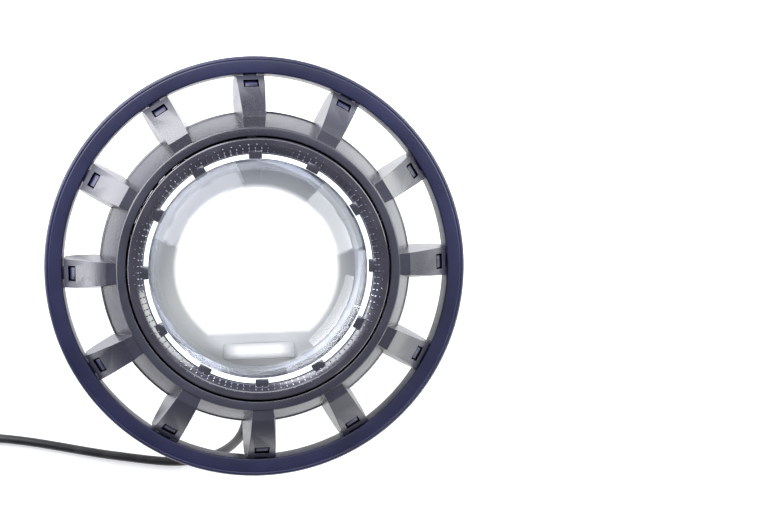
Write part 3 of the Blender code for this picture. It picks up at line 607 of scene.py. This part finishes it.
# Reflector: a metallised bowl behind the shield, faceted by its mould and lit by the chips at its foot.
# It stands in the housing with its rim just under the shield. Its light from the chips is painted on as a
# glow by its emission.
mirror = Finish("reflector_painted_glow", {"Emission Strength": 2.2, "Metallic": 0.6})
facets = mirror.node("TexVoronoi", {"feature": "F1"}, {"Vector": mirror.place, "Scale": 170.0})
mirror.wear(Base_Color=mirror.blend(facets, (0.86, 0.88, 0.90), (0.70, 0.73, 0.76)),
            Emission_Color=mirror.blend(facets, (1.0, 0.99, 0.96), (0.80, 0.83, 0.86)),
            Roughness=0.12 + facets * 0.1, Normal=mirror.relief(facets, 0.0002, 0.5))
bowl_profile = [
    (38.6, 67.4), (37.4, 62.6), (35.5, 58.6), (32.4, 54.6), (28.0, 50.9), (23.2, 48.3), (18.0, 46.7),
    (9.0, 45.0), (9.0, 46.2),
    (17.6, 47.9), (22.6, 49.4), (27.2, 51.9), (31.2, 55.2), (34.2, 59.3), (35.9, 63.4), (36.6, 67.4),
]
piece("reflector_bowl", [turned(eased(bowl_profile, 0.9, 2), 96)], mirror, "lamp",
      ("reflector",), 60.0)


# Boards and chips: two boards with a white solder mask, and the chips' yellow phosphor on the front one.
# They are taken as the CAD has them, and light the reflector. The boards' own faint glow is painted on as
# emission; the chips are the lamp.
def recast(name, nodes, finish, body, sharp=26.0):
    """One piece from copies of CAD nodes with their loose triangles welded."""
    shapes = []
    for node in nodes:
        bm = bmesh.new()
        bm.from_mesh(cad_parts[node].data)
        bmesh.ops.remove_doubles(bm, verts=bm.verts, dist=2e-6)
        bmesh.ops.dissolve_limit(bm, angle_limit=math.radians(0.4), verts=bm.verts, edges=bm.edges)
        mesh = bpy.data.meshes.new(node)
        bm.to_mesh(mesh)
        bm.free()
        shapes.append(mesh)
    return piece(name, shapes, finish, body, nodes, sharp)


solder_mask = Finish("printed_board_painted_glow", {"Emission Strength": 0.9})
lanes = solder_mask.node("TexBrick", {}, {
    "Vector": solder_mask.place, "Scale": 260.0, "Color1": (0.84, 0.86, 0.84), "Color2": (0.78, 0.80, 0.78),
    "Mortar": (0.60, 0.62, 0.58), "Mortar Size": 0.04})
solder_mask.wear(Base_Color=lanes, Emission_Color=lanes, Roughness=0.34 + solder_mask.noise(600.0) * 0.15,
                 Normal=solder_mask.relief(solder_mask.noise(900.0), 0.00003, 0.5))
recast("light_and_driver_boards", ["light_board", "driver_board"], solder_mask, "lamp")
phosphor = Finish("light_chip_phosphor", {"Emission Strength": 3.0})
cells = phosphor.node("TexVoronoi", {"feature": "DISTANCE_TO_EDGE"},
                      {"Vector": phosphor.place, "Scale": 450.0})
cell = phosphor.between(cells, 0.02, 0.12)
phosphor.wear(Base_Color=phosphor.blend(cell, (0.30, 0.28, 0.20), (0.92, 0.82, 0.36)),
              Emission_Color=phosphor.blend(cell, (0.25, 0.24, 0.2), (1.0, 0.97, 0.86)),
              Normal=phosphor.relief(cell, 0.0001, 0.5))
recast("light_chip_array", ["light_chips"], phosphor, "lamp")

# Lamp housing: a glass-filled black cup, moulded with its pin bosses and an aiming lug.
# It has seats for the breather cap and the gland, and the heat sink is screwed to it from behind.
housing_black = moulded("filled_black_housing", (0.014, 0.014, 0.017), (0.026, 0.026, 0.030), 0.46,
                        grain=1500.0, depth=0.00007)
recast("lamp_housing_cup", ["lamp_housing"], housing_black, "lamp")

# Heat sink: one aluminium die casting, sand-dull on its skin.
# The ends of its fins were trimmed after casting, and are brighter.
cast = Finish("die_cast_aluminium", {"Metallic": 1.0})
skin_grain = cast.noise(900.0, 6.0)
flow = cast.between(cast.noise(60.0, 4.0), 0.35, 0.65)
trimmed = 1.0 - cast.between(cast.axes()[2], 0.0003, 0.0012)
skin_tone = cast.blend(flow, (0.36, 0.37, 0.38), (0.50, 0.50, 0.51))
cast.wear(Base_Color=cast.blend(trimmed, skin_tone, (0.66, 0.66, 0.67)),
          Roughness=0.58 - trimmed * 0.2 - flow * 0.06 + (skin_grain - 0.5) * 0.2,
          Normal=cast.relief(skin_grain, 0.00012, 0.7, 0.0004))
recast("finned_heat_sink", ["heat_sink"], cast, "lamp")

# Mounting bracket: a flat ring behind the hub with two pivot arms and four legs.
# It is moulded in the carrier's plastic and screwed to the carrier's bosses.
bracket_black = moulded("bracket_black", (0.018, 0.018, 0.022), (0.030, 0.030, 0.036), 0.44,
                        grain=1800.0, depth=0.00006, edge=0.0003)
recast("mounting_bracket_moulding", ["mounting_bracket"], bracket_black, "bezel")


# Screws, sleeves, pins and the aim screw: zinc-plated steel.
# The screws have pan heads with a cross recess, and a rolled thread.
def pan_screw(place_r, head_z, head_h, head_r, shank_r, tip_z):
    """A pan-head screw standing on its head at this radius, head down."""
    profile = [(0.0, tip_z), (shank_r * 0.55, tip_z)]
    thread_pitch = 0.56
    z = tip_z - 0.5
    while z > head_z + head_h + 0.3:
        profile += [(shank_r, z), (shank_r * 0.8, z - thread_pitch / 2)]
        z -= thread_pitch
    profile += [(shank_r * 0.85, head_z + head_h), (head_r - 0.15, head_z + head_h),
                (head_r, head_z + head_h - 0.25), (head_r, head_z + head_h * 0.45),
                (head_r * 0.86, head_z + head_h * 0.16), (head_r * 0.55, head_z), (0.0, head_z)]
    screw = turned(profile, 24, False, (place_r, 0.0))
    for slot_size in ((head_r * 1.05, 0.55, 1.6), (0.55, head_r * 1.05, 1.6)):
        screw = cut_from(screw, block(slot_size, (place_r, 0, head_z), 0.0))
    return screw


zinc = Finish("zinc_plated_steel", {"Metallic": 1.0})
bloom = zinc.between(zinc.noise(300.0, 4.0), 0.4, 0.66)
brushed = zinc.noise(2400.0, 2.0)
zinc.wear(Base_Color=zinc.blend(bloom, (0.60, 0.61, 0.63), (0.70, 0.67, 0.56)),
          Roughness=0.24 + bloom * 0.16 + (brushed - 0.5) * 0.1,
          Normal=zinc.relief(brushed, 0.00002, 0.5, 0.00015))
sink_screw = pan_screw(place_r=38.2, head_z=19.6, head_h=2.1, head_r=2.7, shank_r=1.3, tip_z=29.6)
piece("heat_sink_screws", [repeated(sink_screw, 4)], zinc, "lamp",
      [f"heat_sink_screw_{k}" for k in range(1, 5)])
bezel_screw = pan_screw(place_r=SCREW_R, head_z=53.2, head_h=1.7, head_r=2.5, shank_r=1.2, tip_z=68.5)
piece("carrier_screws",
      [repeated(bezel_screw, 2, SCREW_SPREAD), repeated(bezel_screw.copy(), 2, math.pi - SCREW_SPREAD)],
      zinc, "bezel", [f"carrier_screw_{k}" for k in range(1, 5)])
recast("foot_bolt_sleeves", [f"foot_sleeve_{k}" for k in range(1, 5)], zinc, "bezel")
recast("pivot_pins", ["pivot_pin_left", "pivot_pin_right"], zinc, "lamp")
recast("light_board_screws", ["board_screw_1", "board_screw_2"], zinc, "lamp")
recast("aim_screw_and_clip", ["aim_screw", "aim_screw_clip"], zinc, "aim_screw")

# Nylon pieces: the aim screw's nut and hand wheel, and the pivots' bushes.
# They are moulded in undyed nylon, which is milky and lets a little light in.
nylon = Finish("undyed_nylon", {"Subsurface Weight": 0.15, "Subsurface Scale": 0.0008})
milk = nylon.between(nylon.noise(120.0, 4.0), 0.35, 0.65)
speck = nylon.noise(2000.0, 2.0)
nylon.wear(Base_Color=nylon.blend(milk, (0.66, 0.62, 0.50), (0.76, 0.74, 0.65)),
           Roughness=0.40 + speck * 0.12, Normal=nylon.relief(speck, 0.00003, 0.6, 0.0002))
recast("pivot_bushes", ["pivot_bush_left", "pivot_bush_right"], nylon, "bezel")
recast("aim_nut_block", ["aim_nut"], nylon, "lamp")
recast("aim_hand_wheel", ["aim_wheel"], nylon, "aim_screw")

# Rubber pieces: the lens gasket, the seal under the housing, the heat pad, the breather's cap and the gland.
# They are moulded black rubber, a little chalky. The gland grips the lead with a ribbed, tapering boot.
rubber = Finish("moulded_rubber", {"Specular IOR Level": 0.35})
chalk = rubber.between(rubber.noise(180.0, 5.0), 0.45, 0.75)
pores = rubber.noise(1700.0, 3.0)
rubber.wear(Base_Color=rubber.blend(chalk, (0.012, 0.012, 0.013), (0.045, 0.044, 0.043)),
            Roughness=0.66 + chalk * 0.18, Normal=rubber.relief(pores, 0.00006, 0.8, 0.0002))
recast("gaskets_and_pad", ["lens_gasket", "housing_seal", "heat_pad"], rubber, "lamp")
recast("breather_cap", ["vent_cap"], rubber, "lamp")
GLAND_SEAT = Vector((-3.5, -38.5, 38.0)) * MM
RIBS, RIB_PITCH, RIB_TAPER = 5, 1.75, 0.26
gland_profile = [(0.0, 15.5), (2.35, 15.5), (2.5, 15.3)]
for k in range(RIBS):
    low, wider = 13.9 - RIB_PITCH * k, RIB_TAPER * k
    gland_profile += [(2.58 + wider, low + 0.9), (2.2 + wider, low + 0.75),
                      (2.25 + wider, low), (2.75 + wider, low - 0.15)]
gland_profile += [(3.85, 6.6), (4.1, 7.7), (5.3, 7.7), (5.6, 7.4), (5.6, 5.0), (5.4, 4.8), (3.0, 4.8),
                  (3.0, 0.2), (2.8, 0.0), (0.0, 0.0)]
gland = turned(gland_profile, 48, False)
gland.transform(Matrix.Translation(GLAND_SEAT) @ Matrix.Rotation(math.radians(90), 4, "X"))
piece("cable_gland_boot", [gland], rubber, "lamp", ("cable_gland",), 40.0)

# Connector: a sealed two-pin plug in black glass-filled plastic, with a latch on ears and tinned pins.
# It rides with the lamp, as the lead's end does, and only its latch moves. A nylon tie holds the coil.
plug_black = moulded("plug_black", (0.012, 0.012, 0.014), (0.022, 0.022, 0.025), 0.5,
                     grain=1300.0, depth=0.00008, edge=0.0003)
plug_body = recast("plug_body", ["connector_body"], plug_black, "lamp")
plug_latch = recast("plug_latch", ["connector_latch"], plug_black, "latch")
seal_rubber = Finish("plug_seal_rubber", {})
seal_pores = seal_rubber.noise(1500.0, 3.0)
seal_rubber.wear(Base_Color=seal_rubber.blend(seal_pores, (0.014, 0.014, 0.016), (0.035, 0.034, 0.035)),
                 Roughness=0.5 + seal_pores * 0.2, Normal=seal_rubber.relief(seal_pores, 0.00005, 0.6))
plug_seal = recast("plug_seal", ["connector_seal"], seal_rubber, "lamp")
tin = Finish("tinned_contact", {"Metallic": 1.0})
drag = tin.noise(1800.0, 3.0)
tin.wear(Base_Color=tin.blend(drag, (0.62, 0.61, 0.58), (0.80, 0.79, 0.76)), Roughness=0.2 + drag * 0.2,
         Normal=tin.relief(drag, 0.00002, 0.4, 0.0001))
plug_pins = recast("plug_pins", ["connector_pin_1", "connector_pin_2"], tin, "lamp")
TIE_X = COIL_X + 18.35
tie_nylon = moulded("black_tie_nylon", (0.014, 0.014, 0.015), (0.026, 0.026, 0.027), 0.42,
                    grain=1600.0)
strap = block((9.5, 2.6, 4.65), (TIE_X, COIL_Y, 2.4), 0.45)
strap = cut_from(strap, block((7.8, 5.0, 5.8), (TIE_X, COIL_Y, 0.9), 0.6))
ratchet = block((3.8, 3.8, 1.9), (COIL_X + 19.4, COIL_Y, 4.85), 0.3)
coil_tie = piece("coil_tie_loop", [strap, ratchet], tie_nylon, "lamp", ("coil_tie",))

# Studio: a pale floor and large soft lights, one high over the lamp and the others low round it.
# None of this is part of the lamp.
floor_bm = bmesh.new()
under_the_fins = Matrix.Translation((0, 0, -0.0002))
bmesh.ops.create_grid(floor_bm, x_segments=8, y_segments=8, size=3.0, matrix=under_the_fins)
floor_mesh = bpy.data.meshes.new("floor")
floor_bm.to_mesh(floor_mesh)
floor_bm.free()
floor = bpy.data.objects.new("floor", floor_mesh)
bpy.context.scene.collection.objects.link(floor)
paper = Finish("pale_floor", {
    "Roughness": 0.8, "Specular IOR Level": 0.1, "Emission Color": (1.0, 1.0, 1.0), "Emission Strength": 0.3})
paper.wear(Base_Color=paper.blend(paper.noise(3.0, 2.0), (0.90, 0.90, 0.905), (0.93, 0.93, 0.93)))
floor_mesh.materials.append(paper.material)
world = bpy.data.worlds.new("studio")
world.use_nodes = True
world.node_tree.nodes["Background"].inputs["Color"].default_value = (0.86, 0.88, 1.0, 1.0)
world.node_tree.nodes["Background"].inputs["Strength"].default_value = 0.35
bpy.context.scene.world = world


def soft_light(name, bearing, rise, distance, width, height, power, colour):
    """A rectangular light at a bearing and a rise in degrees, facing the lamp."""
    light = bpy.data.lights.new(name, "AREA")
    light.shape, light.size, light.size_y = "RECTANGLE", width, height
    light.energy, light.color = power, colour
    made = bpy.data.objects.new(name, light)
    bpy.context.scene.collection.objects.link(made)
    a, e = math.radians(bearing), math.radians(rise)
    away = Vector((math.cos(a) * math.cos(e), math.sin(a) * math.cos(e), math.sin(e)))
    made.location = away * distance + Vector((0, 0, 0.06))
    made.rotation_euler = away.to_track_quat("Z", "Y").to_euler()
    made.visible_camera = False


soft_light("light_upper_left", 130, 22, 1.4, 1.6, 1.1, 54, (0.96, 0.965, 1.0))
soft_light("light_right", 26, 22, 1.5, 1.0, 0.9, 26, (0.97, 1.0, 0.96))
soft_light("light_lower_right", -32, 14, 1.5, 1.2, 0.6, 13, (0.98, 1.0, 0.95))
soft_light("light_left", 174, 7, 1.4, 0.9, 0.35, 11, (0.95, 0.97, 1.0))
soft_light("light_over", 80, 62, 1.5, 1.1, 0.7, 14, (0.92, 0.95, 1.0))
